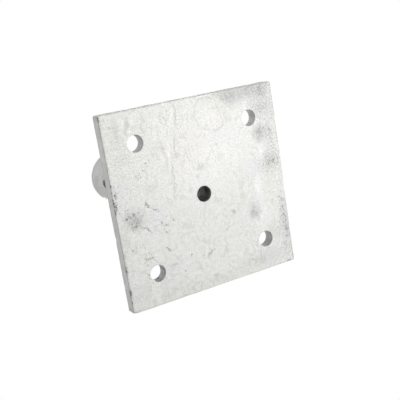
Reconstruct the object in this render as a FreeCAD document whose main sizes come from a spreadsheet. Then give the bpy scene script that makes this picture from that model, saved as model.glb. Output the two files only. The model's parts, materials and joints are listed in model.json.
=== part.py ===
# Floor anchor for a round sign post: a square base plate with four fixing holes and a drain hole,
# a tube socket standing on it and the fillet weld that joins the two. Hot-dip galvanised steel.
# Millimetres, +Z up along the tube, origin at the centre of the plate's underside.
import FreeCAD, Part
import os
import Sketcher
from FreeCAD import Vector

DIMENSIONS = {
    "plate_side": 150.0,
    "plate_thickness": 10.0,
    "plate_corner_radius": 1.5,
    "plate_edge_radius": 0.4,
    "fixing_hole_spacing": 100.0,
    "fixing_hole_diameter": 13.0,
    "drain_hole_diameter": 12.0,
    "hole_chamfer": 0.4,
    "tube_diameter": 48.3,
    "tube_wall": 2.6,
    "tube_length": 165.0,
    "tube_edge_radius": 0.5,
    "cross_hole_diameter": 8.5,
    "cross_hole_drop": 32.0,
    "weld_leg": 5.0,
    "weld_crown": 0.6,
}
FIXING_HOLES = 4
ON_PLANE = 1e-4

doc = FreeCAD.newDocument("FloorAnchor")
origin = Vector(0, 0, 0)


def make_sheet():
    sheet = doc.addObject("Spreadsheet::Sheet", "Dimensions")
    for row, (alias, value) in enumerate(DIMENSIONS.items(), start=1):
        sheet.set(f"A{row}", alias)
        sheet.set(f"B{row}", str(value))
        sheet.setAlias(f"B{row}", alias)
    doc.recompute()


def make_body(name):
    body = doc.addObject("PartDesign::Body", name)
    body.Label = name
    return body


def origin_feature(body, role):
    return next(item for item in body.Origin.OriginFeatures if item.Role == role)


def make_sketch(body, name, plane_role):
    sketch = body.newObject("Sketcher::SketchObject", name)
    sketch.AttachmentSupport = [(origin_feature(body, plane_role), "")]
    sketch.MapMode = "FlatFace"
    return sketch


def size(sketch, constraint, expression):
    index = sketch.addConstraint(constraint)
    sketch.setExpression(f"Constraints[{index}]", expression)


def add_circle(sketch, centre, diameter, expression):
    circle = sketch.addGeometry(Part.Circle(centre, Vector(0, 0, 1), diameter / 2), False)
    size(sketch, Sketcher.Constraint("Diameter", circle, diameter), expression)
    return circle


def centre_on_origin(sketch, geometry):
    sketch.addConstraint(Sketcher.Constraint("Coincident", geometry, 3, -1, 1))


def round_edges(body, base, name, edges, expression):
    fillet = body.newObject("PartDesign::Fillet", name)
    fillet.Base = (base, edges)
    fillet.setExpression("Radius", expression)
    doc.recompute()
    return fillet


def bevel_edges(body, base, name, edges, expression):
    chamfer = body.newObject("PartDesign::Chamfer", name)
    chamfer.Base = (base, edges)
    chamfer.setExpression("Size", expression)
    doc.recompute()


def named_edges(shape, wanted):
    return [f"Edge{number}" for number, edge in enumerate(shape.Edges, start=1) if wanted(edge)]


def at_height(edge, height):
    return all(abs(vertex.Z - height) < ON_PLANE for vertex in edge.Vertexes)


def rim_edges(shape, height):
    return named_edges(shape, lambda edge: at_height(edge, height) and edge.isClosed())


def outline_edges(shape, height):
    return named_edges(shape, lambda edge: at_height(edge, height) and not edge.isClosed())


def upright_edges(shape):
    return named_edges(shape, lambda edge: abs(edge.tangentAt(edge.FirstParameter).z) > 1 - ON_PLANE)


def make_base_plate():
    body = make_body("base_plate")

    outline = make_sketch(body, "PlateOutline", "XY_Plane")
    half = DIMENSIONS["plate_side"] / 2
    points = [Vector(x * half, y * half, 0) for x, y in [(-1, -1), (1, -1), (1, 1), (-1, 1)]]
    for start, end in zip(points, points[1:] + points[:1]):
        outline.addGeometry(Part.LineSegment(start, end), False)
    for side in range(4):
        outline.addConstraint(Sketcher.Constraint("Coincident", side, 2, (side + 1) % 4, 1))
    for side, direction in enumerate(["Horizontal", "Vertical", "Horizontal", "Vertical"]):
        outline.addConstraint(Sketcher.Constraint(direction, side))
    outline.addConstraint(Sketcher.Constraint("Equal", 0, 1))
    outline.addConstraint(Sketcher.Constraint("Symmetric", 0, 1, 2, 1, -1, 1))
    size(outline, Sketcher.Constraint("DistanceX", 0, 1, 0, 2, 2 * half), "Dimensions.plate_side")

    blank = body.newObject("PartDesign::Pad", "PlateBlank")
    blank.Profile = outline
    blank.setExpression("Length", "Dimensions.plate_thickness")
    doc.recompute()
    corners = upright_edges(blank.Shape)
    round_edges(body, blank, "PlateCorners", corners, "Dimensions.plate_corner_radius")

    drain_sketch = make_sketch(body, "DrainSketch", "XY_Plane")
    diameter = DIMENSIONS["drain_hole_diameter"]
    drain_circle = add_circle(drain_sketch, origin, diameter, "Dimensions.drain_hole_diameter")
    centre_on_origin(drain_sketch, drain_circle)
    drain = body.newObject("PartDesign::Pocket", "DrainHole")
    drain.Profile = drain_sketch
    drain.Type = "ThroughAll"
    drain.Reversed = True
    doc.recompute()

    fixing_sketch = make_sketch(body, "FixingSketch", "XY_Plane")
    reach = DIMENSIONS["fixing_hole_spacing"] / 2
    centre = Vector(reach, reach, 0)
    diameter = DIMENSIONS["fixing_hole_diameter"]
    fixing_circle = add_circle(fixing_sketch, centre, diameter, "Dimensions.fixing_hole_diameter")
    for direction in ["DistanceX", "DistanceY"]:
        offset = Sketcher.Constraint(direction, -1, 1, fixing_circle, 3, reach)
        size(fixing_sketch, offset, "Dimensions.fixing_hole_spacing / 2")
    fixing = body.newObject("PartDesign::Pocket", "FixingHole")
    fixing.Profile = fixing_sketch
    fixing.Type = "ThroughAll"
    fixing.Reversed = True
    doc.recompute()

    pattern = body.newObject("PartDesign::PolarPattern", "FixingHoles")
    pattern.Originals = [fixing]
    pattern.Axis = (origin_feature(body, "Z_Axis"), [""])
    pattern.Angle = 360
    pattern.Occurrences = FIXING_HOLES
    body.Tip = pattern
    doc.recompute()

    thickness = DIMENSIONS["plate_thickness"]
    outlines = outline_edges(pattern.Shape, 0) + outline_edges(pattern.Shape, thickness)
    edge = round_edges(body, pattern, "PlateEdges", outlines, "Dimensions.plate_edge_radius")
    rims = rim_edges(edge.Shape, 0) + rim_edges(edge.Shape, thickness)
    bevel_edges(body, edge, "HoleRims", rims, "Dimensions.hole_chamfer")
    return body


def make_socket_tube():
    body = make_body("socket_tube")
    body.setExpression("Placement.Base.z", "Dimensions.plate_thickness")

    section = make_sketch(body, "TubeSection", "XY_Plane")
    outer = DIMENSIONS["tube_diameter"]
    inner = outer - 2 * DIMENSIONS["tube_wall"]
    for diameter, expression in [
        (outer, "Dimensions.tube_diameter"),
        (inner, "Dimensions.tube_diameter - 2 * Dimensions.tube_wall"),
    ]:
        circle = add_circle(section, origin, diameter, expression)
        centre_on_origin(section, circle)
    wall = body.newObject("PartDesign::Pad", "TubeWall")
    wall.Profile = section
    wall.setExpression("Length", "Dimensions.tube_length")
    doc.recompute()

    mouth = rim_edges(wall.Shape, DIMENSIONS["tube_length"])
    round_edges(body, wall, "TubeMouth", mouth, "Dimensions.tube_edge_radius")

    cross_sketch = make_sketch(body, "CrossHoleSketch", "YZ_Plane")
    height = DIMENSIONS["tube_length"] - DIMENSIONS["cross_hole_drop"]
    centre = Vector(0, height, 0)
    diameter = DIMENSIONS["cross_hole_diameter"]
    cross_circle = add_circle(cross_sketch, centre, diameter, "Dimensions.cross_hole_diameter")
    cross_sketch.addConstraint(Sketcher.Constraint("PointOnObject", cross_circle, 3, -2))
    rise = Sketcher.Constraint("DistanceY", -1, 1, cross_circle, 3, height)
    size(cross_sketch, rise, "Dimensions.tube_length - Dimensions.cross_hole_drop")
    cross = body.newObject("PartDesign::Pocket", "CrossHole")
    cross.Profile = cross_sketch
    cross.Type = "ThroughAll"
    cross.Midplane = True
    doc.recompute()
    return body


def make_fillet_weld():
    body = make_body("fillet_weld")
    body.setExpression("Placement.Base.z", "Dimensions.plate_thickness")

    section = make_sketch(body, "WeldSection", "XZ_Plane")
    root_radius = DIMENSIONS["tube_diameter"] / 2
    leg = DIMENSIONS["weld_leg"]
    crown = DIMENSIONS["weld_crown"]
    root = Vector(root_radius, 0, 0)
    plate_toe = Vector(root_radius + leg, 0, 0)
    tube_toe = Vector(root_radius, leg, 0)
    face_middle = (plate_toe + tube_toe) * 0.5 + Vector(1, 1, 0).normalize() * crown
    on_plate = section.addGeometry(Part.LineSegment(root, plate_toe), False)
    face = section.addGeometry(Part.Arc(plate_toe, face_middle, tube_toe), False)
    on_tube = section.addGeometry(Part.LineSegment(tube_toe, root), False)
    section.addConstraint(Sketcher.Constraint("Coincident", on_plate, 2, face, 1))
    section.addConstraint(Sketcher.Constraint("Coincident", face, 2, on_tube, 1))
    section.addConstraint(Sketcher.Constraint("Coincident", on_tube, 2, on_plate, 1))
    section.addConstraint(Sketcher.Constraint("Vertical", on_tube))
    section.addConstraint(Sketcher.Constraint("PointOnObject", on_plate, 1, -1))
    section.addConstraint(Sketcher.Constraint("PointOnObject", on_plate, 2, -1))
    reach = Sketcher.Constraint("DistanceX", -1, 1, on_plate, 1, root_radius)
    plate_leg = Sketcher.Constraint("DistanceX", on_plate, 1, on_plate, 2, leg)
    tube_leg = Sketcher.Constraint("DistanceY", on_tube, 2, on_tube, 1, leg)
    size(section, reach, "Dimensions.tube_diameter / 2")
    size(section, plate_leg, "Dimensions.weld_leg")
    size(section, tube_leg, "Dimensions.weld_leg")
    # The face is an arc that stands the crown's height proud of the chord between the toes.
    face_arc = Sketcher.Constraint("Radius", face, (leg**2 / 2 + crown**2) / (2 * crown))
    half_chord_squared = "Dimensions.weld_leg ^ 2 / 2"
    twice_crown = "2 * Dimensions.weld_crown"
    size(section, face_arc, f"({half_chord_squared} + Dimensions.weld_crown ^ 2) / ({twice_crown})")

    bead = body.newObject("PartDesign::Revolution", "WeldBead")
    bead.Profile = section
    bead.ReferenceAxis = (section, ["V_Axis"])
    bead.Angle = 360
    doc.recompute()
    return body


def check(bodies):
    for item in doc.Objects:
        if "Invalid" in item.State or "Error" in item.State:
            raise RuntimeError(f"{item.Name} did not compute: {item.State}")
    for body in bodies:
        if body.Shape.isNull() or not body.Shape.isValid() or len(body.Shape.Solids) != 1:
            raise RuntimeError(f"{body.Label} is not one valid solid")


make_sheet()
bodies = [make_base_plate(), make_socket_tube(), make_fillet_weld()]
doc.recompute()
check(bodies)
os.makedirs("parts", exist_ok=True)
for body in bodies:
    body.Shape.exportStep(f"parts/{body.Label}.step")
    print(body.Label, "volume", round(body.Shape.Volume, 1), "box", body.Shape.BoundBox)
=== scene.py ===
import json

import bmesh
import bpy
import numpy as np
from mathutils import Matrix, Vector


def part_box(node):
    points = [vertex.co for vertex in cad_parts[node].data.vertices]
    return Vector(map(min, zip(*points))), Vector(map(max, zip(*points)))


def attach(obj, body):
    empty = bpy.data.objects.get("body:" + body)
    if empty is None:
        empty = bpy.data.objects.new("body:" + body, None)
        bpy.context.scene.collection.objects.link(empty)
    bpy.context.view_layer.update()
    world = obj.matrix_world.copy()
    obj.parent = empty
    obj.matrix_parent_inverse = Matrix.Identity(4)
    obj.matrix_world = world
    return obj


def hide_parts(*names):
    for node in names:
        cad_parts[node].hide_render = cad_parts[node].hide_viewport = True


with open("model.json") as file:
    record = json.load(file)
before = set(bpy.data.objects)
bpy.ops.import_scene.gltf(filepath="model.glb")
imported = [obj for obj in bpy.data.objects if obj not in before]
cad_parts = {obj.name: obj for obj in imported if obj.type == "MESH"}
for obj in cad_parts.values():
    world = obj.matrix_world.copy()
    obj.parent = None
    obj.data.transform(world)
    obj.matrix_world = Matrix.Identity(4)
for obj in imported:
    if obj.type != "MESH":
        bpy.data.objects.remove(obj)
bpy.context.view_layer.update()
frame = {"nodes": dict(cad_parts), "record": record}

mm = 0.001
mounts = {entry["name"]: entry for entry in frame["record"]["mounts"]}
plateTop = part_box("base_plate")[1]
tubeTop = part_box("socket_tube")[1]
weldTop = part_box("fillet_weld")[1]
print("frame loaded:", ", ".join(sorted(frame["nodes"])))


# Shared mesh work

# sum of plane waves in scattered directions and pitches, which spreads about one either way
def waves(points, pitch, seed, count=28):
    rng = np.random.default_rng(seed)
    heading = rng.normal(size=(points.shape[-1], count))
    heading /= np.linalg.norm(heading, axis=0) * pitch * rng.uniform(0.6, 1.7, count)
    shift = rng.uniform(0, 2 * np.pi, count)
    return np.cos(points @ heading * 2 * np.pi + shift).sum(axis=-1) / np.sqrt(count / 2)


# 0 at low, 1 at high, with a soft start and end
def ease(value, low, high):
    share = np.clip((value - low) / (high - low), 0, 1)
    return share * share * (3 - 2 * share)


# quarter turns from 0 to 90 degrees
def quarterTurn(steps):
    return np.linspace(0, np.pi / 2, steps + 1)


# each grid is rows by columns by xyz; its quads face along (next row) x (next column)
def buildPiece(name, grids, node):
    points, faces, count = [], [], 0
    for grid, wraps in grids:
        rows, columns = grid.shape[:2]
        index = np.arange(rows * columns).reshape(rows, columns) + count
        if wraps:
            index = np.hstack([index, index[:, :1]])
        quads = np.stack([index[:-1, :-1], index[1:, :-1], index[1:, 1:], index[:-1, 1:]], axis=-1)
        points.append(grid.reshape(-1, 3))
        faces.append(quads.reshape(-1, 4))
        count += rows * columns
    mesh = bpy.data.meshes.new(name)
    mesh.from_pydata(np.concatenate(points).tolist(), [], np.concatenate(faces).tolist())
    work = bmesh.new()
    work.from_mesh(mesh)
    bmesh.ops.remove_doubles(work, verts=work.verts, dist=0.001 * mm)
    work.to_mesh(mesh)
    work.free()
    mesh.shade_smooth()
    piece = bpy.data.objects.new(name, mesh)
    bpy.context.scene.collection.objects.link(piece)
    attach(piece, "root")
    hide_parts(node)
    return piece


def meshPoints(mesh):
    points = np.empty(len(mesh.vertices) * 3)
    normals = np.empty(len(mesh.vertices) * 3)
    mesh.vertices.foreach_get("co", points)
    mesh.vertices.foreach_get("normal", normals)
    return points.reshape(-1, 3), normals.reshape(-1, 3)


def movePoints(mesh, points):
    mesh.vertices.foreach_set("co", points.reshape(-1))
    mesh.update()


# how dark the zinc is at each point, from 0 to 1, for the material to read; partly painted shade
def thinZinc(mesh, share):
    layer = mesh.attributes.new("thinZinc", "FLOAT", "POINT")
    layer.data.foreach_set("value", np.clip(share, 0, 1).astype(np.float32))


# Base plate

plate = {
    "half": plateTop.x,
    "thick": plateTop.z,
    "edge": 0.4 * mm,             # rounding that the zinc leaves on every arris
    # corner radii seen from above, by the sign of x and then of y
    "corners": np.array([[0.6, 0.9], [1.7, 0.8]]) * mm,
    "reach": mounts["floor_bolts"]["dims"]["spacing_x_mm"] * mm / 2,
    # zinc takes a tenth of a millimetre off the drilled size
    "hole": mounts["floor_bolts"]["dims"]["hole_r_mm"] * mm - 0.1 * mm,
    "drain": 6.1 * mm,
    "holeEdge": 0.45 * mm,
    "steps": 48,                  # quads along a third of the plate's side
    "coat": 0.07 * mm,            # mean depth of the zinc under the nominal face
    "deepest": 0.5 * mm,
    "unevenness": 0.05 * mm,      # zinc thickness, long swells
    "swellPitch": (34 * mm, 15 * mm),
    "dimples": 0.018 * mm,        # zinc thickness, short swells
    "dimplePitch": 4.5 * mm,
    # darkening, from 0 for clean zinc to 1 for the darkest: sooty zinc, or painted shade where so named
    "arrisStain": 0.55,
    "arrisFade": 0.6 * mm,        # inward from an arris
    "arrisDrop": 1.8 * mm,        # from an arris along the plate's thickness
    "holeStains": np.array([0.28, 0.5, 0.04, 0.44]),   # painted shade on the fixing holes' walls, x first
    # painted shade down the drain's wall, deepening between the heights below
    "drainStain": 0.85,
    "drainDepth": (0.3 * mm, 4 * mm),
    "topStain": 0.22,             # painted shade on the edge at -Y
    "topFade": 0.8 * mm,
    "endStain": 0.22,             # the edge at -X, close to its end at -Y
    "endAt": -74 * mm,
    "endReach": 4 * mm,
    "footStain": 0.28,            # the edge at -X, towards its end at +Y
    "footFade": (56 * mm, 74 * mm),
    "lineStain": 0.35,            # a line low on the edge at -X, and where it runs out
    "lineHeight": (0.8 * mm, 2.2 * mm),
    "lineFade": (-45 * mm, -20 * mm),
    # lumps of ash in the hole at -X +Y: degrees round its wall, height and reach in millimetres, depth
    "ash": [
        (-14, 3.4, 1.1, 0.8), (-12, 8.0, 1.2, 1.0), (-22, 5.8, 1.5, 0.35), (20, 2.0, 0.9, 0.4),
        (70, 8.0, 1.1, 0.9), (70, 1.9, 1.0, 0.5), (84, 0.5, 1.0, 0.3),
    ],
    # knocks on the arrises: where (x, y, z), reach along the arris and depth, in millimetres
    "knocks": [
        (-75, 41, 0, 4, 0.5), (-75, 59, 0, 4, 0.5), (-75, -10, 0, 4, 0.4), (-75, -3.5, 0, 3, 0.35),
        (-75, -23.5, 0, 2, 0.35), (75, 47, 0, 3, 0.3), (22, 75, 10, 4, 0.4), (-48, -75, 10, 3, 0.4),
        (75, -28, 10, 5, 0.4), (60, -75, 0, 3, 0.3), (-75, 18, 10, 3, 0.35), (75, 75, 10, 3, 0.6),
        (-20, -75, 0, 2, 0.3), (75, 12, 0, 3, 0.3), (-60, 75, 10, 2, 0.4), (-75, -75, 10, 2, 0.5),
        (-75, 75, 0, 3, 0.6),
    ],
}


# stops along one side, in thirds: even in the middle third, closing up towards the two ends
def plateStops():
    inner = plate["half"] - plate["edge"]
    third = plate["reach"] / 2
    share = np.linspace(0, 1, plate["steps"] + 1)
    outward = third + (inner - third) * (1 - (1 - share) ** 1.5)
    middle = np.linspace(-third, third, plate["steps"] + 1)
    return np.concatenate([-outward[::-1], middle[1:-1], outward])


# distance past the corner's own centre lines; positive in both only inside the rounded corner
def pastCorner(flat):
    inner = plate["half"] - plate["edge"]
    corner = plate["corners"][(flat[..., 0] > 0).astype(int), (flat[..., 1] > 0).astype(int)]
    return np.abs(flat) - (inner - (corner[..., None] - plate["edge"]))


# squeezes the square corner onto its quarter circle: each point keeps its heading from the corner's
# centre, and its larger offset becomes its distance
def roundCorners(flat):
    past = pastCorner(flat)
    inside = (past > 0).all(axis=-1)
    length = np.linalg.norm(past, axis=-1)
    squeezed = past * (past.max(axis=-1) / np.where(inside, length, 1))[..., None]
    return np.where(inside[..., None], np.sign(flat) * (np.abs(flat) - past + squeezed), flat)


# outline of a cell, counter-clockwise from its low corner
def cellRing(xs, ys):
    left, right = np.full(len(ys) - 1, xs[0]), np.full(len(ys) - 1, xs[-1])
    low, high = np.full(len(xs) - 1, ys[0]), np.full(len(xs) - 1, ys[-1])
    across = np.concatenate([xs[:-1], right, xs[:0:-1], left])
    along = np.concatenate([low, ys[:-1], high, ys[:0:-1]])
    return np.stack([across, along], axis=-1)


# one profile carried round a hole: underside from the cell's outline in to the rim, rounded rim, wall,
# rounded rim and the upper face out to the outline; share 0 is the rim and 1 the outline
def holeCell(ring, centre, radius, faceRows=20, rimRows=4, wallRows=6):
    edge, thick = plate["holeEdge"], plate["thick"]
    turn = quarterTurn(rimRows)
    faceShare = np.linspace(1, 0, faceRows + 1) ** 1.4
    wall = np.linspace(edge, thick - edge, wallRows + 1)[1:-1]
    rimWide, rimLow = edge * (1 - np.sin(turn[1:])), edge * (1 - np.cos(turn[1:]))
    flatRow = np.zeros(faceRows + 1)
    share = np.concatenate([faceShare, 0 * rimLow, 0 * wall, 0 * rimLow, faceShare[::-1]])
    wide = np.concatenate([flatRow + edge, rimWide, 0 * wall, rimWide[::-1], flatRow + edge])
    height = np.concatenate([flatRow, rimLow, wall, thick - rimLow[::-1], flatRow + thick])
    away = ring - centre
    away /= np.linalg.norm(away, axis=-1, keepdims=True)
    rim = centre + away[None] * (radius + wide)[:, None, None]
    flat = rim + (ring[None] - rim) * share[:, None, None]
    return np.dstack([flat, np.broadcast_to(height[:, None], flat.shape[:2])])


# a plain third of the plate, once below facing down and once above facing up
def plainCell(xs, ys):
    across, along = np.meshgrid(xs, ys, indexing="ij")
    flat = roundCorners(np.stack([across, along], axis=-1))
    below = np.dstack([flat, np.zeros(across.shape)])
    above = np.dstack([flat, np.full(across.shape, plate["thick"])])
    return [(below[:, ::-1], False), (above, False)]


# outer edge: a profile of quarter round, flat and quarter round carried along the outline
def outerBand(stops, edgeRows=5, sideRows=14):
    ring = roundCorners(cellRing(stops, stops))[::-1]
    past = np.maximum(pastCorner(ring), 0)
    outward = np.sign(ring) * past / np.linalg.norm(past, axis=-1, keepdims=True)
    edge, thick = plate["edge"], plate["thick"]
    turn = quarterTurn(edgeRows)
    side = np.linspace(edge, thick - edge, sideRows + 1)[1:-1]
    wide = edge * np.concatenate([np.sin(turn), np.ones(sideRows - 1), np.sin(turn[::-1])])
    low = edge * (1 - np.cos(turn))
    height = np.concatenate([low, side, thick - low[::-1]])
    flat = ring[None] + outward[None] * wide[:, None, None]
    return np.dstack([flat, np.broadcast_to(height[:, None], flat.shape[:2])])


def makePlate():
    stops = plateStops()
    thirds = [stops[i * plate["steps"]:(i + 1) * plate["steps"] + 1] for i in range(3)]
    grids = [(outerBand(stops), True)]
    for i, xs in enumerate(thirds):
        for j, ys in enumerate(thirds):
            if (i + j) % 2:
                grids += plainCell(xs, ys)
            else:
                centre = plate["reach"] * np.array([i - 1, j - 1])
                radius = plate["drain"] if i == j == 1 else plate["hole"]
                grids.append((holeCell(roundCorners(cellRing(xs, ys)), centre, radius), True))
    return buildPiece("basePlate", grids, "base_plate")


# 1 on the wall of a round hole and 0 on the faces beside it, by the distance from its axis
def onWall(away, radius, near=0.1 * mm, far=0.5 * mm):
    return 1 - ease(away, radius + near, radius + far)


# darker along the arrises and on the edge at -X, with lumps of ash in one hole; painted shade on the edge
# at -Y, on the fixing holes' walls and, blackest, down the drain
def plateStainsAndShade(points):
    x, y, height = points.T
    half, edge = plate["half"], plate["edge"]
    inward = half - np.maximum(np.abs(x), np.abs(y))
    fade = np.where(y < -half + 2 * mm, plate["topFade"], plate["arrisFade"])
    drop = np.minimum(height, plate["thick"] - height)
    arris = plate["arrisStain"] * (1 - np.hypot(inward / fade, drop / plate["arrisDrop"]))
    holes = plate["reach"] * np.array([(i, j) for i in (-1, 1) for j in (-1, 1)])
    away = np.linalg.norm(points[:, None, :2] - holes, axis=-1)
    # painted shade on the fixing holes' walls
    stainedOrShaded = (plate["holeStains"] * onWall(away, plate["hole"])).max(axis=-1)
    for turn, high, reach, deep in plate["ash"]:
        heading = np.array([np.cos(np.radians(turn)), np.sin(np.radians(turn))])
        lump = np.append(holes[1] + plate["hole"] * heading, high * mm)
        stainedOrShaded += deep * np.exp(-((points - lump) ** 2).sum(axis=-1) / (reach * mm) ** 2)
    # painted shade down the drain, deepening with height
    inDrain = onWall(np.hypot(x, y), plate["drain"])
    stainedOrShaded += plate["drainStain"] * inDrain * ease(height, *plate["drainDepth"])
    # painted shade on the edge at -Y
    stainedOrShaded += plate["topStain"] * (1 - ease(half + y, 0, edge))
    besideX = 1 - ease(half + x, 0, edge)
    stainedOrShaded += plate["endStain"] * besideX * np.exp(-((y - plate["endAt"]) / plate["endReach"]) ** 2)
    stainedOrShaded += plate["footStain"] * besideX * ease(y, *plate["footFade"])
    lowLine = (1 - ease(height, *plate["lineHeight"])) * (1 - ease(y, *plate["lineFade"]))
    stainedOrShaded += plate["lineStain"] * besideX * lowLine
    return np.maximum(arris, stainedOrShaded)


# zinc lies uneven on the steel: long and short swells, always inward of the nominal face, and knocks
def coatPlate(piece):
    points, normals = meshPoints(piece.data)
    longPitch, shortPitch = plate["swellPitch"]
    swell = plate["unevenness"] * (waves(points, longPitch, 3) + 0.6 * waves(points, shortPitch, 4))
    dimple = plate["dimples"] * waves(points, plate["dimplePitch"], 5)
    depth = np.clip(plate["coat"] - swell - dimple, 0, plate["deepest"])
    for x, y, z, reach, deep in plate["knocks"]:
        away = (points - np.array([x, y, z]) * mm) / mm
        along = away[:, 1] if abs(x) > abs(y) else away[:, 0]
        across = np.sqrt(np.maximum((away ** 2).sum(axis=-1) - along ** 2, 0))
        depth += deep * mm * np.exp(-(along / reach * 1.5) ** 2 - across ** 2)
    movePoints(piece.data, points - normals * depth[:, None])
    thinZinc(piece.data, plateStainsAndShade(points))


# Socket tube

tube = {
    "radius": tubeTop.x,
    "bore": mounts["post_socket"]["dims"]["r_mm"] * mm,
    "low": plateTop.z,
    "high": tubeTop.z,
    "rim": 0.6 * mm,
    "crossHole": mounts["cross_bolt_hole"]["dims"]["r_mm"] * mm,
    "crossHeight": mounts["cross_bolt_hole"]["pos_m"][2],
    "crossEdge": 0.6 * mm,
    "cellAngle": np.radians(36),  # half the arc that a cross hole's cell takes
    "cellHalf": 15 * mm,
    "cellSteps": 24,
    "sideSteps": 36,
    "lowerSteps": 60,
    "upperSteps": 12,
    "rimSteps": 4,
    "coat": 0.09 * mm,
    "deepest": 0.4 * mm,
    "unevenness": 0.05 * mm,
    "swellPitch": (26 * mm, 11 * mm),
    "swellStretch": 0.45,         # runs are longer than they are wide
    "dimples": 0.015 * mm,
    "dimplePitch": 4 * mm,
    "seat": 4 * mm,               # height over which the coat thins out to nothing at the foot
    "boreStain": (0.4, 0.95),     # at the mouth and at the foot: duller zinc, with painted shade deepening it towards the foot
    "boreHeight": (40 * mm, 110 * mm),
    "crossStain": 0.05,
}


def bent(radius, angle, height):
    return np.stack(np.broadcast_arrays(radius * np.cos(angle), radius * np.sin(angle), height), axis=-1)


# headings round the tube: a hole's cell at each end of X, and a plain stretch between them
def tubeAngles():
    half = tube["cellAngle"]
    near = np.linspace(-half, half, tube["cellSteps"] + 1)
    plain = np.linspace(half, np.pi - half, tube["sideSteps"] + 1)
    return near, plain


# one profile carried round the cross hole, drilled square to the axis: outside wall in to the rim,
# the hole's own wall, and the inside wall out again; y and z lie on straight lines from rim to outline,
# and x follows from the wall's radius
def crossCell(angles, heights, faceRows=12, rimRows=3, wallRows=4):
    edge = tube["crossEdge"]
    wallThick = tube["radius"] - tube["bore"]
    ring = cellRing(angles, heights)[::-1]
    turn = quarterTurn(rimRows)[1:]
    faceShare = np.linspace(1, 0, faceRows + 1) ** 1.3
    flatRow = np.zeros(faceRows + 1)
    deep = np.linspace(edge, wallThick - edge, wallRows + 1)[1:-1]
    rimWide, rimLow = edge * (1 - np.sin(turn)), edge * (1 - np.cos(turn))
    share = np.concatenate([faceShare, 0 * rimLow, 0 * deep, 0 * rimLow, faceShare[::-1]])
    wide = np.concatenate([flatRow + edge, rimWide, 0 * deep, rimWide[::-1], flatRow + edge])
    depth = np.concatenate([flatRow, rimLow, deep, wallThick - rimLow[::-1], flatRow + wallThick])
    wall = (tube["radius"] - depth)[:, None]
    outlineY, outlineZ = wall * np.sin(ring[:, 0]), ring[:, 1] - tube["crossHeight"]
    heading = np.arctan2(outlineZ, tube["radius"] * np.sin(ring[:, 0]))
    rimRadius = (tube["crossHole"] + wide)[:, None]
    rimY, rimZ = rimRadius * np.cos(heading), rimRadius * np.sin(heading)
    y = rimY + (outlineY - rimY) * share[:, None]
    z = rimZ + (outlineZ - rimZ) * share[:, None]
    x = np.sqrt(wall ** 2 - y ** 2)
    return np.stack([x, y, z + tube["crossHeight"]], axis=-1)


def makeTube():
    near, plain = tubeAngles()
    mid, half = tube["crossHeight"], tube["cellHalf"]
    mouth = tube["high"] - tube["rim"]
    lower = np.linspace(tube["low"], mid - half, tube["lowerSteps"] + 1)
    middle = np.linspace(mid - half, mid + half, tube["cellSteps"] + 1)
    upper = np.linspace(mid + half, mouth, tube["upperSteps"] + 1)
    # the mouth's section: quarter round, flat and quarter round from outside to inside
    turn = quarterTurn(tube["rimSteps"])
    rim = tube["rim"]
    outside = tube["radius"] - rim * (1 - np.cos(turn))
    inside = tube["bore"] + rim * (1 - np.cos(turn))
    mouthRadius = np.concatenate([outside, inside[::-1]])
    mouthHeight = mouth + rim * np.concatenate([np.sin(turn), np.sin(turn[::-1])])
    halfTurn = np.diag([-1.0, -1.0, 1.0])
    grids = []
    for angles, drilled in [(near, True), (plain, False)]:
        for heights in [lower, middle, upper]:
            if drilled and heights is middle:
                grids.append((crossCell(angles, heights), True))
                continue
            angle, height = np.meshgrid(angles, heights, indexing="ij")
            grids.append((bent(tube["radius"], angle, height), False))
            grids.append((bent(tube["bore"], angle, height)[::-1], False))
        grids.append((bent(mouthRadius[None], angles[:, None], mouthHeight[None]), False))
        foot = np.array([tube["bore"], tube["radius"]])
        grids.append((bent(foot[None], angles[:, None], tube["low"]), False))
    grids += [(grid @ halfTurn, wraps) for grid, wraps in grids]
    return buildPiece("socketTube", grids, "socket_tube")


# darker down the bore: duller zinc inside, and painted shade that deepens towards its foot; and a light
# stain in the cross hole
def tubeStainsAndShade(points):
    x, y, height = points.T
    mouth, foot = tube["boreStain"]
    # painted shade deepens the bore's darkening towards its foot
    bore = mouth + (foot - mouth) * (1 - ease(height, *tube["boreHeight"]))
    bore *= onWall(np.hypot(x, y), tube["bore"], far=0.6 * mm)
    away = np.hypot(y, height - tube["crossHeight"])
    drilled = onWall(away, tube["crossHole"], near=0.05 * mm, far=0.4 * mm)
    return np.maximum(bore * (1 - drilled), tube["crossStain"] * drilled)


def coatTube(piece):
    points, normals = meshPoints(piece.data)
    stretched = points * np.array([1, 1, tube["swellStretch"]])
    longPitch, shortPitch = tube["swellPitch"]
    swell = waves(stretched, longPitch, 13) + 0.5 * waves(stretched, shortPitch, 14)
    dimple = tube["dimples"] * waves(points, tube["dimplePitch"], 15)
    depth = np.clip(tube["coat"] - tube["unevenness"] * swell - dimple, 0, tube["deepest"])
    depth *= ease(points[:, 2], tube["low"], tube["low"] + tube["seat"])
    movePoints(piece.data, points - normals * depth[:, None])
    thinZinc(piece.data, tubeStainsAndShade(points))


# Fillet weld

weld = {
    "leg": weldTop.z - plateTop.z,
    "crown": 0.55 * mm,
    "pitch": 2.8 * mm,            # from ripple to ripple
    "ripple": 0.34 * mm,
    "stray": 0.9,                 # radians by which a ripple strays from its even place
    "trail": 2.2,                 # radians by which it trails behind at the toes
    "skew": 0.7,                  # under 1 it is steep in front and long behind
    "lumps": 0.35 * mm,           # how much the hand-laid legs vary
    "sink": 0.05 * mm,            # the root lies this far into the corner
    "around": 540,
    "across": 16,
    # painted shade in the corners at the toes and in the valleys between the ripples
    "toeStain": 0.5,
    "toeReach": 0.9 * mm,
    "valleyStain": 0.3,
}


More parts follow.
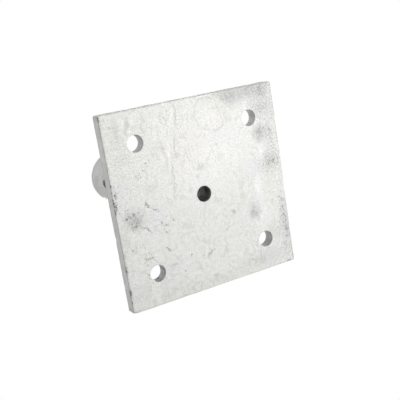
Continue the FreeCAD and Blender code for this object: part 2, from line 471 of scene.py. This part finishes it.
# height of the ripples from 0 to 1, by the angle round the tube and the share of the way from the
# plate's toe to the tube's toe: crescents that trail behind at both toes, steep in front and long behind
def rippleHeight(angle, share):
    count = round(2 * np.pi * (tube["radius"] + weld["leg"] / 2) / weld["pitch"])
    uneven = weld["stray"] * waves(bent(1.0, angle, 0.0), 0.5, 25)
    phase = count * angle + uneven + weld["trail"] * (2 * share - 1) ** 2
    return np.sin(np.pi * (phase / (2 * np.pi) % 1) ** weld["skew"])


# a bead's section carried round the tube: the face goes from the plate's toe to the tube's toe and
# stands proud of the straight line by a half sine, with the ripples on it
def makeWeld():
    angle = np.linspace(0, 2 * np.pi, weld["around"], endpoint=False)[:, None]
    share = np.linspace(0, 1, weld["across"] + 1)[None]
    circle = bent(1.0, angle[:, 0], 0.0)
    legPlate = weld["leg"] + weld["lumps"] * (0.5 * waves(circle, 0.9, 23)[:, None] - 0.8)
    legTube = weld["leg"] + weld["lumps"] * (0.5 * waves(circle, 0.8, 24)[:, None] - 0.8)
    ripple = weld["ripple"] * (rippleHeight(angle, share) - 0.6)
    proud = (weld["crown"] + ripple) * np.sin(np.pi * share)
    radius = tube["radius"] + legPlate * (1 - share) + proud / np.sqrt(2)
    height = plateTop.z + legTube * share + proud / np.sqrt(2)
    face = np.stack([radius * np.cos(angle), radius * np.sin(angle), height], axis=-1)
    root = bent(tube["radius"] - weld["sink"], angle, plateTop.z - weld["sink"])
    section = np.concatenate([root, face, root], axis=1).transpose(1, 0, 2)
    return buildPiece("filletWeld", [(section[:, ::-1], True)], "fillet_weld")


# painted shade in the corners at the two toes and in the valleys between the ripples
def coatWeld(piece):
    x, y, height = meshPoints(piece.data)[0].T
    out = np.hypot(x, y) - tube["radius"]
    up = height - plateTop.z
    toe = 1 - ease(np.minimum(out, up), 0, weld["toeReach"])
    share = up / np.maximum(out + up, 0.1 * mm)
    valley = 1 - ease(rippleHeight(np.arctan2(y, x), share), 0.1, 0.7)
    thinZinc(piece.data, np.maximum(weld["toeStain"] * toe, weld["valleyStain"] * valley))


basePlate = makePlate()
coatPlate(basePlate)
socketTube = makeTube()
coatTube(socketTube)
filletWeld = makeWeld()
coatWeld(filletWeld)
for piece in (basePlate, socketTube, filletWeld):
    print("piece", piece.name, "triangles", sum(len(face.vertices) - 2 for face in piece.data.polygons))


# Materials

def linear(hexColour):
    parts = [int(hexColour[i:i + 2], 16) / 255 for i in (1, 3, 5)]
    return [p / 12.92 if p <= 0.04045 else ((p + 0.055) / 1.055) ** 2.4 for p in parts] + [1.0]


# adds a node and gives back one of its outputs; an input is a number, a colour or another node's output
def addNode(tree, kind, inputs=None, out=None, **settings):
    node = tree.nodes.new("ShaderNode" + kind)
    for name, value in settings.items():
        setattr(node, name, value)
    for name, value in (inputs or {}).items():
        if isinstance(value, bpy.types.NodeSocket):
            tree.links.new(value, node.inputs[name])
        else:
            node.inputs[name].default_value = value
    return node.outputs[out] if out else next(socket for socket in node.outputs if socket.enabled)


# Hot-dip zinc: steel drawn from molten zinc sets with a dull pale skin. It scatters light softly, and
# it shows a sandy grain, tide lines where the zinc ran off, cloudy blooms of cooler grey, and dark pin
# specks of ash and flux. It is darker over the arrises; painted shade darkens it in the holes, down the
# bore and at the weld's toes and valleys, and the plate's underside is painted paler, as lit.
zinc = {
    # the underside's tone, painted paler than the other faces as lit: painted light
    "pale": "#EEEFE9",
    "aged": "#CBCDCA",            # away from the underside, whose paler tone is painted light
    "cool": "#E8E7E9",
    "warm": "#EFEAE5",
    "bright": "#FCFCFB",
    "dull": "#A9A9A7",
    # dark of specks and marks, and of the painted shade
    "soot": "#3C3C3A",
    "metallic": (0.12, 0.55),     # on the underside and elsewhere
    "roughness": (0.55, 0.75),
    "smoother": -0.25,            # change of roughness in the open air
    "cover": (0.35 * mm, 0.8 * mm),   # heights between which the underside's paler tone, painted light, and its lower metal end
    "drift": (9 * mm, 9 * mm),    # pitch and reach of the wander of clouds and runs
    "jag": (2.2 * mm, 2.4 * mm),  # the same for scratches and specks
    "bloom": 16 * mm,             # clouds of cooler grey
    "patch": 24 * mm,             # dull patches
    "mottle": 3.4 * mm,
    "grain": 1.3 * mm,            # the real grain is finer: drawn as coarse as a pixel shows
    "specks": 1.6 * mm,           # mean distance between pin specks
    "tide": 15 * mm,              # swells whose contours are the tide lines
    "contours": 9.0,
    "spangle": 8 * mm,            # zinc crystals on the faces open to the air
    "pepper": 1.25 * mm,          # fine dust of ash, drawn as coarse as a pixel shows
    "crumb": 1.0 * mm,            # bits that a scratch breaks up into
    "relief": 0.06 * mm,          # height of the grain
    # what each one adds to the dull grey; grain and mottle go from their low to their high ground
    "grainDull": (0.42, -0.12),
    "mottleDull": (0.19, -0.07),
    "tideDull": 0.22,
    "crystalDull": 0.27,
    "cloudDull": 0.6,
    "brightDull": -0.2,
    # what each one adds to the dark stains
    "speckDark": 0.5,
    "markDark": 0.5,
    "dustDark": 0.8,
    "runDark": 0.4,
    "loopDark": 0.75,
}

# What stands out on the underside, in millimetres on the plate: x, y, half length, half width, turn in
# degrees, and depth from 0 to 1
underside = {
    "dullClouds": [
        (50, -72, 32, 9, 0, 0.75), (37, -67, 12, 8, 10, 0.6), (58, -37, 7, 9, 0, 1.2),
        (69, -36, 8, 12, 0, 0.2), (65, -12, 12, 11, 0, 0.35), (43, 24, 8, 7, 0, 0.65),
        (45.5, 26, 4, 3, 0, 0.3), (41, 29, 5, 6, 0, 0.3), (71, 42, 6, 34, 0, 0.5),
        (-61, 5, 12, 10, 20, 0.85), (0, -21, 6, 4, 20, 0.5), (-18, -34, 4, 3.5, 0, 0.5),
        (-63, -40, 10, 6, 0, 0.3), (17, -36, 3, 2.5, 0, 0.7), (47, 65, 32, 10, 0, 0.35),
        (-66, 62, 14, 12, 0, 0.2), (-30, 66, 24, 8, 0, 0.15), (24, 20, 3, 2.6, 0, 0.6),
        (66, -70, 14, 10, 0, 0.55), (20, -70, 14, 5, 0, 0.3), (64, -57, 17, 13, 0, 0.75),
        (29, -70, 10, 7, 0, 0.2), (0, 71, 45, 9, 0, 0.25), (60, 46, 10, 12, 0, 0.3),
        (-71, 20, 7, 14, 0, 0.35), (-34, 47, 5, 2.5, 0, 0.5), (-38, 55, 2.5, 2.2, 0, 0.5),
        (-43, -12, 4, 2, 10, 0.4), (-64, -64, 4, 10, 0, 0.4),
    ],
    "coolClouds": [
        (52, -70, 28, 10, 0, 1.0), (66, -59, 10, 6, 0, 1.4), (64, -30, 15, 22, 0, 0.9),
        (45, -10, 14, 10, 0, 0.9), (47, 9, 7, 19, 4, 0.6), (44, 24, 9, 9, 0, 0.8),
        (71, 42, 7, 36, 0, 0.8), (-46, 8, 13, 13, 0, 1.0), (-67, -20, 11, 8, 0, 0.7),
        (47, 64, 32, 11, 0, 0.4), (-37, 50, 13, 10, 0, 0.6),
    ],
    "warmClouds": [(-8, -38, 34, 30, 0, 0.6), (22, -58, 13, 14, 0, 0.6)],
    "brightClouds": [
        (6, -30, 58, 44, 0, 0.46), (57, -21, 5, 12, 8, 0.9), (50, 6, 4, 15, 4, 0.9),
        (44, -10, 9, 6, 0, 0.5), (67, -28, 8, 7, 0, 0.4), (66, -59, 9, 5, 0, 0.5),
        (-46, 9, 12, 10, 0, 0.3), (15, -57, 11, 12, 0, 0.25), (-30, -58, 8, 12, 0, 0.3),
        (50, 28, 12, 14, 0, 0.35), (-24, -36, 14, 1.3, 92, 0.5), (-31.5, -36, 12, 1.3, 92, 0.5),
        (-18, -62, 10, 1.3, 90, 0.55), (-52, -65, 9, 1.4, 90, 0.5), (-58, -66, 8, 1.4, 90, 0.4),
    ],
    "speckClouds": [
        (-61, 5, 13, 9, 30, 1.0), (-52, -26, 6, 4, 0, 0.6), (-44, -32, 5, 4, 0, 0.3),
        (65, -12, 16, 13, 0, 0.7), (69, -30, 9, 12, 0, 0.6), (70, 33, 5, 22, 0, 1.2),
        (-34, 15, 10, 10, 0, 0.5), (-73, -14, 4, 15, 0, 1.5), (66, -38, 11, 10, 0, 0.4),
        (24, -2, 4, 4, 0, 0.8), (-54, 37, 9, 5, 0, 0.7), (-60, 50, 20, 18, 0, 0.3),
        (70, 60, 8, 16, 0, 0.6), (-45, -30, 14, 12, 0, 0.25), (-3, 46, 9, 6, 0, 0.4),
        (62, -71, 14, 6, 0, 0.8),
    ],
    "pepperClouds": [
        (65, -13, 18, 14, 0, 1.1), (70, -28, 9, 16, 0, 0.9), (61, -36, 9, 9, 0, 0.5),
        (-61, 5, 10, 7, 20, 0.95), (71, 35, 5, 22, 0, 0.7), (-52, -26, 5, 4, 0, 0.6),
        (62, -71, 12, 6, 0, 0.5), (-73, -12, 4, 14, 0, 0.8),
    ],
    "grainClouds": [
        (-5, 42, 95, 62, 0, -0.55), (66, -64, 22, 30, 0, 1.0), (68, -28, 18, 30, 0, 0.35),
        (-62, -34, 22, 26, 0, 0.6), (-24, -62, 32, 16, 0, 0.4), (6, -8, 34, 22, 0, -0.35),
    ],
    "scratches": [
        (-49, -3, 4.5, 1.9, 56, 1.4), (-43, 2, 5.0, 1.3, 36, 1.2), (-51.5, 15.5, 5.5, 1.4, 45, 1.2),
        (-38, 34, 5.0, 1.3, 47, 1.2), (-56, 37, 3.0, 1.4, -25, 1.0), (-52, 37, 2.0, 1.3, 40, 1.0),
        (-2, 47, 7.0, 1.0, -31, 1.0), (-3, 47.5, 3.2, 0.9, 40, 0.9), (-37, 20.7, 2.2, 1.4, 60, 1.1),
        (-29.6, 13, 3.2, 1.3, 50, 1.1), (-39.8, 12.7, 1.8, 1.3, 70, 1.1),
        (-36.7, 15.4, 1.8, 1.5, 0, 1.1), (-19.3, 43.8, 2.0, 1.6, 60, 1.1), (-61.3, 1, 2.0, 1.8, 0, 1.5),
        (-67.3, 3.2, 2.2, 1.8, 0, 1.5), (-60.6, 10.4, 1.8, 1.6, 0, 1.4), (-68, -64.8, 1.5, 1.4, 0, 1.3),
        (-26.9, 55, 2.0, 1.5, -40, 1.2), (16, 32, 6, 1.2, -35, 0.8), (-67, 27, 2.6, 1.8, 20, 0.9),
        (24, 20, 1.6, 1.3, 0, 0.9), (74.6, 70.5, 3.6, 1.3, 90, 1.5), (70, 74.6, 4, 1.2, 0, 1.4),
        (72, 47, 3.4, 1.8, 10, 1.2), (67.3, -11, 1.8, 1.8, 0, 1.4), (-50.5, -24.5, 1.3, 1.1, 0, 0.8),
        (-53, -26.5, 1.3, 1.1, 0, 0.8), (-43.5, -31.5, 1.4, 1.0, 60, 0.8), (68.5, 19, 1.8, 1.4, 0, 1.0),
        (68, 29.5, 1.7, 1.4, 0, 1.2), (-56.5, 12, 4, 1.4, 40, 0.8),
    ],
    "nicks": [
        (-75, -23.5, 2.2, 1.6, 70, 1.4), (-72.5, -22.5, 1.8, 1.3, 0, 1.2), (-73, -16, 4, 1.1, 80, 1.2),
        (-75, -10, 4.5, 1.9, 80, 1.5), (-73.6, -6.5, 3.0, 1.4, 110, 1.2),
        (-75, -3.5, 3.0, 1.5, 90, 1.4), (-75, 41, 4.5, 2.0, 90, 1.6), (-75, 59, 4.5, 2.0, 90, 1.6),
        (-74.5, 30, 3, 1.2, 90, 0.8), (-75, -72, 4, 2, 90, 1.0), (-75, 66, 3, 1.2, 90, 0.9),
    ],
    "runs": [
        (-14.4, -64, 14, 1.1, 92, 1.5), (-18.5, -42, 14, 1.0, 93, 1.3), (-22.5, -24, 14, 1.0, 94, 1.5),
        (-25.4, -10.5, 8, 1.0, 98, 1.4), (-22.5, -3, 6, 1.0, 4, 0.6), (-54.4, -65, 11, 1.7, 90, 0.8),
        (-41.4, -62, 9, 1.8, 90, 1.0), (-29, -46, 14, 1.9, 91, 0.7), (-17.5, -46, 10, 1.4, 92, 0.5),
        (-62, -60, 10, 1.6, 92, 0.4), (-35, -40, 7, 1.6, 70, 0.5), (28, -60, 9, 1.4, 80, 0.35),
        (-27.5, -62, 8, 1.6, 90, 0.6), (-22, -62, 7, 1.4, 90, 0.6), (-38, -39, 5, 1.6, 90, 0.6),
    ],
    "loops": [(12, -62, 16, 17, 0, 0.9), (20, -52, 14, 13, 0, 0.55)],
    "rust": [(-29.3, 58.8, 4.5, 4, 0, 0.25), (-41, 39.8, 2, 1.6, 0, 0.16)],
    "rustColour": "#D8BE98",
}


# each mark is a ball stretched to its size, strongest at its middle; the marks of a list add up
def addMarks(tree, place, marks):
    total = 0.0
    for x, y, length, width, turn, depth in marks:
        spot = addNode(tree, "Mapping", {
            "Vector": place,
            "Location": (x * mm, y * mm, 0),
            "Rotation": (0, 0, np.radians(turn)),
            "Scale": (length * mm, width * mm, 3 * mm),
        }, vector_type="TEXTURE")
        ball = addNode(tree, "TexGradient", {"Vector": spot}, "Fac", gradient_type="SPHERICAL")
        total = addNode(tree, "Math", {0: ball, 1: depth, 2: total}, operation="MULTIPLY_ADD")
    return total


# a thin line round each loop, where its ball has fallen to a third
def addLoops(tree, place, loops):
    ball = addMarks(tree, place, loops)
    away = addNode(tree, "Math", {0: ball, 1: 0.34}, operation="SUBTRACT")
    away = addNode(tree, "Math", {0: away}, operation="ABSOLUTE")
    return addNode(tree, "MapRange", {"Value": away, "From Min": 0.055, "From Max": 0.015})


# place shifted about along the plate by a noise, so that outlines on it wander
def addWander(tree, place, pitchAndReach):
    pitch, reach = pitchAndReach
    noise = addNode(tree, "TexNoise", {"Vector": place, "Scale": 1 / pitch, "Detail": 3.0}, "Color")
    centred = addNode(tree, "VectorMath", {0: noise, 1: (0.5, 0.5, 0.5)}, operation="SUBTRACT")
    shift = addNode(tree, "VectorMath", {0: centred, 1: (reach, reach, 0)}, operation="MULTIPLY")
    return addNode(tree, "VectorMath", {0: place, 1: shift}, operation="ADD")


# a mask with ragged, broken edges: it is multiplied by a noise before it is cut
def addRagged(tree, mask, noise, low, high):
    broken = addNode(tree, "Math", {0: noise, 1: mask}, operation="MULTIPLY")
    return addNode(tree, "MapRange", {"Value": broken, "From Min": low, "From Max": high})


# how dark the underside's own marks are: scratches and nicks that break up into crumbs, dust and runs
def addScratches(tree, place, drift, jag, marks):
    marked = addMarks(tree, jag, marks["scratches"] + marks["nicks"])
    crumb = addNode(tree, "TexNoise", {"Vector": place, "Scale": 1 / zinc["crumb"], "Detail": 1.0})
    crumb = addNode(tree, "MapRange", {"Value": crumb, "From Min": 0.36, "From Max": 0.52})
    marked = addRagged(tree, marked, crumb, 0.24, 0.62)
    dust = addNode(tree, "TexVoronoi", {"Vector": place, "Scale": 1 / zinc["pepper"]}, "Distance")
    dust = addNode(tree, "MapRange", {"Value": dust, "From Min": 0.55, "From Max": 0.2})
    dusty = addMarks(tree, drift, marks["pepperClouds"])
    dust = addNode(tree, "Math", {0: dust, 1: dusty}, operation="MULTIPLY")
    marked = addNode(tree, "Math", {0: dust, 1: zinc["dustDark"], 2: marked}, operation="MULTIPLY_ADD")
    runs = addMarks(tree, drift, marks["runs"])
    loops = addLoops(tree, drift, marks["loops"])
    runs = addNode(tree, "Math", {0: loops, 1: zinc["loopDark"], 2: runs}, operation="MULTIPLY_ADD")
    return addNode(tree, "Math", {0: runs, 1: zinc["runDark"], 2: marked}, operation="MULTIPLY_ADD")


# pin specks: a dot at the middle of some cells, of more cells where the surface is peppered
def addSpecks(tree, jag, peppered):
    dot = addNode(tree, "TexVoronoi", {"Vector": jag, "Scale": 1 / zinc["specks"]}, "Distance")
    lot = addNode(tree, "SeparateColor", {"Color": dot.node.outputs["Color"]})
    dot = addNode(tree, "MapRange", {"Value": dot, "From Min": 0.55, "From Max": 0.2})
    chance = addNode(tree, "Math", {0: peppered, 1: 0.7, 2: 0.07}, operation="MULTIPLY_ADD")
    kept = addNode(tree, "Math", {0: chance, 1: lot}, operation="SUBTRACT")
    kept = addNode(tree, "MapRange", {"Value": kept, "From Max": 0.25})
    return addNode(tree, "Math", {0: dot, 1: kept}, operation="MULTIPLY")


# tide lines: the contours of a slow noise, drawn out along Y, where the bloom is low
def addTide(tree, drift, bloom):
    down = addNode(tree, "VectorMath", {0: drift, 1: (1, 0.55, 1)}, operation="MULTIPLY")
    tide = addNode(tree, "TexNoise", {"Vector": down, "Scale": 1 / zinc["tide"], "Detail": 1.0})
    tide = addNode(tree, "Math", {0: tide, 1: zinc["contours"]}, operation="MULTIPLY")
    tide = addNode(tree, "Math", {0: tide, 1: 0.5}, operation="PINGPONG")
    tide = addNode(tree, "MapRange", {"Value": tide, "From Min": 0.2, "From Max": 0.5})
    calm = addNode(tree, "MapRange", {"Value": bloom, "From Min": 0.62, "From Max": 0.42})
    return addNode(tree, "Math", {0: tide, 1: calm}, operation="MULTIPLY")


def makeZinc(name, marks=None, contrast=1.0, dullness=0.0):
    material = bpy.data.materials.new(name)
    material.use_nodes = True
    tree = material.node_tree
    shader = tree.nodes["Principled BSDF"]
    place = addNode(tree, "TexCoord", out="Object")
    drift = addWander(tree, place, zinc["drift"])
    jag = addWander(tree, place, zinc["jag"])
    bloom = addNode(tree, "TexNoise", {"Vector": drift, "Scale": 1 / zinc["bloom"], "Detail": 2.0})
    mottle = addNode(tree, "TexNoise", {"Vector": place, "Scale": 1 / zinc["mottle"], "Detail": 2.0})
    grain = addNode(tree, "TexNoise", {"Vector": place, "Scale": 1 / zinc["grain"], "Detail": 2.0})

    # share of the surface away from the underside: all of it, but for the plate's underside, whose paler
    # tone is painted light and where the grain is coarser in some places than in others
    above = 1.0
    if marks:
        height = addNode(tree, "SeparateXYZ", {"Vector": place}, "Z")
        low, high = zinc["cover"]
        above = addNode(tree, "MapRange", {"Value": height, "From Min": low, "From Max": high})
        coarse = addMarks(tree, place, marks["grainClouds"])
        spread = addNode(tree, "Math", {0: grain, 1: 0.5}, operation="SUBTRACT")
        grain = addNode(tree, "Math", {0: spread, 1: coarse, 2: grain}, operation="MULTIPLY_ADD")

    # dull patches that come and go by chance, on every face but the underside, which has its own marks
    patch = addNode(tree, "TexNoise", {"Vector": drift, "Scale": 1 / zinc["patch"], "Detail": 2.0})
    patch = addNode(tree, "MapRange", {"Value": patch, "From Min": 0.5, "From Max": 0.75, "To Max": 0.35})
    patch = addNode(tree, "Math", {0: patch, 1: above}, operation="MULTIPLY")
    peppered = addNode(tree, "Math", {0: patch, 1: 0.4}, operation="MULTIPLY")
    if marks:
        speckled = addMarks(tree, drift, marks["speckClouds"])
        peppered = addNode(tree, "Math", {0: peppered, 1: speckled}, operation="ADD")
    specks = addSpecks(tree, jag, peppered)
    tide = addTide(tree, drift, bloom)

    # how dull the grey is: grain, mottle, tide lines, crystals and patches together
    low, high = zinc["grainDull"]
    grey = addNode(tree, "MapRange", {
        "Value": grain, "From Min": 0.25, "From Max": 0.75, "To Min": low * contrast, "To Max": high,
    }, clamp=False)
    low, high = zinc["mottleDull"]
    blotch = addNode(tree, "MapRange", {
        "Value": mottle, "From Min": 0.25, "From Max": 0.75, "To Min": low * contrast, "To Max": high,
    }, clamp=False)
    grey = addNode(tree, "Math", {0: grey, 1: blotch}, operation="ADD")
    tidal = zinc["tideDull"] * contrast
    grey = addNode(tree, "Math", {0: tide, 1: tidal, 2: grey}, operation="MULTIPLY_ADD")
    crystal = addNode(tree, "TexVoronoi", {"Vector": place, "Scale": 1 / zinc["spangle"]}, "Color")
    crystal = addNode(tree, "SeparateColor", {"Color": crystal})
    facet = {0: crystal, 1: zinc["crystalDull"], 2: dullness}
    facet = addNode(tree, "Math", facet, operation="MULTIPLY_ADD")
    grey = addNode(tree, "Math", {0: facet, 1: above, 2: grey}, operation="MULTIPLY_ADD")
    grey = addNode(tree, "Math", {0: patch, 1: zinc["cloudDull"], 2: grey}, operation="MULTIPLY_ADD")

    # how dark the stains are: specks, the darker zinc over arrises, and painted shade in holes and
    # corners
    stainOrShade = addNode(tree, "Attribute", out="Fac", attribute_name="thinZinc")
    uneven = addNode(tree, "MapRange", {
        "Value": mottle, "From Min": 0.3, "From Max": 0.7, "To Min": 0.55, "To Max": 0.8,
    })
    darkStainOrShade = addNode(tree, "Math", {0: stainOrShade, 1: uneven}, operation="MULTIPLY")
    dark = addNode(tree, "Math", {0: specks, 1: zinc["speckDark"], 2: darkStainOrShade}, operation="MULTIPLY_ADD")

    # the underside's own clouds and marks, and colours laid over one another from pale zinc to soot
    base, layers = zinc["aged"], []
    covered, bare = zinc["metallic"]
    if marks:
        cool = addNode(tree, "MapRange", {
            "Value": bloom, "From Min": 0.5, "From Max": 0.75, "To Max": 0.6,
        })
        below = addNode(tree, "Math", {0: 1.0, 1: above}, operation="SUBTRACT")
        blooms = addMarks(tree, drift, marks["coolClouds"])
        cool = addNode(tree, "Math", {0: cool, 1: below, 2: blooms}, operation="MULTIPLY_ADD")
        warm = addMarks(tree, drift, marks["warmClouds"])
        bright = addMarks(tree, drift, marks["brightClouds"])
        rusty = addMarks(tree, drift, marks["rust"])
        cloudy = addMarks(tree, drift, marks["dullClouds"])
        for cloud, dull in ((cloudy, zinc["cloudDull"]), (bright, zinc["brightDull"])):
            grey = addNode(tree, "Math", {0: cloud, 1: dull, 2: grey}, operation="MULTIPLY_ADD")
        marked = addScratches(tree, place, drift, jag, marks)
        dark = addNode(tree, "Math", {0: marked, 1: zinc["markDark"], 2: dark}, operation="MULTIPLY_ADD")
        base = zinc["pale"]
        # the underside keeps a paler tone than the other faces: painted light
        layers += [(above, zinc["aged"]), (bright, zinc["bright"])]
        layers += [(warm, zinc["warm"]), (cool, zinc["cool"])]
        metallic = addNode(tree, "MapRange", {"Value": above, "To Min": covered, "To Max": bare})
        tree.links.new(metallic, shader.inputs["Metallic"])
    else:
        shader.inputs["Metallic"].default_value = bare
    layers.append((grey, zinc["dull"]))
    if marks:
        layers.append((rusty, marks["rustColour"]))
    # specks and marks, and the painted shade, darken towards this colour
    layers.append((dark, zinc["soot"]))
    colour = linear(base)
    for share, shade in layers:
        colour = addNode(tree, "Mix", {"Factor": share, 6: colour, 7: linear(shade)}, data_type="RGBA")
    tree.links.new(colour, shader.inputs["Base Color"])

    low, high = zinc["roughness"]
    rough = addNode(tree, "MapRange", {
        "Value": mottle, "From Min": 0.3, "From Max": 0.7, "To Min": low, "To Max": high,
    })
    sheen = addNode(tree, "Math", {0: crystal, 1: 0.1, 2: zinc["smoother"]}, operation="MULTIPLY_ADD")
    rough = addNode(tree, "Math", {0: sheen, 1: above, 2: rough}, operation="MULTIPLY_ADD")
    tree.links.new(rough, shader.inputs["Roughness"])
    relief = addNode(tree, "Math", {0: grain, 1: dark}, operation="SUBTRACT")
    bump = addNode(tree, "Bump", {"Strength": 0.3, "Distance": zinc["relief"], "Height": relief})
    tree.links.new(bump, shader.inputs["Normal"])
    return material


basePlate.data.materials.append(makeZinc("hotDipZincPlate", underside))
socketTube.data.materials.append(makeZinc("hotDipZincTube", contrast=0.45, dullness=0.25))
filletWeld.data.materials.append(makeZinc("hotDipZincWeld", contrast=0.9, dullness=0.3))
print("zinc on every piece")


# Stage: a one-way floor, the light and the camera

stage = {
    "floorDrop": 0.2 * mm,
    "floorHalf": 3.0,
    "floor": "#FAFAF8",
    "shade": "#A8A8A5",
    "shadeEnd": (0.073, 0.08),    # metres from the middle, square with the plate
    "nearWhite": 0.35,            # share of plain white close to the object, and where all is white
    "whiteFade": (0.2, 0.6),
    "ambient": 0.25,
    "sun": 2.1,
    "sunFrom": (0.55, 0.25, 1.1),
    "sunAim": (0, 0, 0),
    "sunAngle": np.radians(30),
    "lamp": 3.65,
    "lampFrom": (0.28, -0.13, -0.62),
    "lampAim": (0, -0.02, 0),
    "lampSize": 0.25,
    "fill": 4.0,
    "fillFrom": (-0.62, -0.6, 0.16),
    "fillAim": (0, 0, 0.05),
    "fillSize": 1.2,
}


# pale floor seen from above only: the camera may look up through it at the underside, and no light is
# kept from either side; it turns to plain white away from the object
def makeFloor():
    half = stage["floorHalf"]
    corners = [(-half, -half), (half, -half), (half, half), (-half, half)]
    mesh = bpy.data.meshes.new("floor")
    mesh.from_pydata([(x, y, -stage["floorDrop"]) for x, y in corners], [], [(0, 1, 2, 3)])
    floor = bpy.data.objects.new("floor", mesh)
    bpy.context.scene.collection.objects.link(floor)
    material = bpy.data.materials.new("paleFloor")
    material.use_nodes = True
    tree = material.node_tree
    tree.nodes.remove(tree.nodes["Principled BSDF"])
    place = addNode(tree, "TexCoord", out="Object")
    distance = addNode(tree, "VectorMath", {0: place}, operation="LENGTH")
    low, high = stage["whiteFade"]
    far = addNode(tree, "MapRange", {
        "Value": distance, "From Min": low, "From Max": high, "To Min": stage["nearWhite"],
    }, interpolation_type="SMOOTHSTEP")
    # under the plate, where only the holes show it, the floor lies in the plate's own shade
    side = addNode(tree, "VectorMath", {0: place}, operation="ABSOLUTE")
    side = addNode(tree, "SeparateXYZ", {"Vector": side})
    side = addNode(tree, "Math", {0: side, 1: side.node.outputs["Y"]}, operation="MAXIMUM")
    low, high = stage["shadeEnd"]
    lit = addNode(tree, "MapRange", {"Value": side, "From Min": low, "From Max": high})
    far = addNode(tree, "Math", {0: far, 1: lit}, operation="MULTIPLY")
    tone = {"Factor": lit, 6: linear(stage["shade"]), 7: linear(stage["floor"])}
    tone = addNode(tree, "Mix", tone, data_type="RGBA")
    paint = addNode(tree, "BsdfDiffuse", {"Color": tone})
    white = addNode(tree, "Emission")
    top = addNode(tree, "MixShader", {0: far, 1: paint, 2: white})
    clear = addNode(tree, "BsdfTransparent")
    below = addNode(tree, "NewGeometry", out="Backfacing")
    seen = addNode(tree, "LightPath", out="Is Camera Ray")
    shown = addNode(tree, "Math", {0: seen, 1: below}, operation="SUBTRACT", use_clamp=True)
    oneWay = addNode(tree, "MixShader", {0: shown, 1: clear, 2: top})
    tree.links.new(oneWay, tree.nodes["Material Output"].inputs["Surface"])
    mesh.materials.append(material)


# white to the eye and in reflections, and a soft grey light from all round
def makeWorld():
    world = bpy.data.worlds.new("studio")
    bpy.context.scene.world = world
    world.use_nodes = True
    tree = world.node_tree
    seen = addNode(tree, "LightPath", out="Is Camera Ray")
    for ray in ("Is Glossy Ray", "Is Transmission Ray"):
        other = addNode(tree, "LightPath", out=ray)
        seen = addNode(tree, "Math", {0: seen, 1: other}, operation="MAXIMUM")
    strength = addNode(tree, "MapRange", {"Value": seen, "To Min": stage["ambient"], "To Max": 1.0})
    tree.links.new(strength, tree.nodes["Background"].inputs["Strength"])
    tree.nodes["Background"].inputs["Color"].default_value = (1, 1, 1, 1)


def addLamp(name, kind, key):
    data = bpy.data.lights.new(name, kind)
    data.energy = stage[key]
    lamp = bpy.data.objects.new(name, data)
    bpy.context.scene.collection.objects.link(lamp)
    start, aim = Vector(stage[key + "From"]), Vector(stage[key + "Aim"])
    lamp.location = start
    lamp.visible_camera = False
    lamp.rotation_mode = "QUATERNION"
    lamp.rotation_quaternion = (aim - start).to_track_quat("-Z", "Y")
    return data


makeFloor()
makeWorld()
addLamp("skyKey", "SUN", "sun").angle = stage["sunAngle"]
addLamp("undersideKey", "AREA", "lamp").size = stage["lampSize"]
addLamp("sideFill", "AREA", "fill").size = stage["fillSize"]

view = {
    "place": (-0.2691, -0.1166, -0.4946),
    "aim": (-0.00462, 0.00372, 0.0),
    "up": (0.239, -0.965, 0.107),     # the plate's own -Y points up in the picture
    "lens": 66.97,
    "sensor": 36,
    "nearest": 0.01,
}


def makeCamera():
    data = bpy.data.cameras.new("camera")
    data.lens = view["lens"]
    data.sensor_width = view["sensor"]
    data.clip_start = view["nearest"]
    camera = bpy.data.objects.new("camera", data)
    bpy.context.scene.collection.objects.link(camera)
    back = (Vector(view["place"]) - Vector(view["aim"])).normalized()
    right = Vector(view["up"]).cross(back).normalized()
    turn = Matrix((right, back.cross(right), back)).transposed()
    camera.matrix_world = Matrix.Translation(view["place"]) @ turn.to_4x4()
    bpy.context.scene.camera = camera


makeCamera()
bpy.context.scene.view_settings.view_transform = "Standard"
print("stage and camera set")
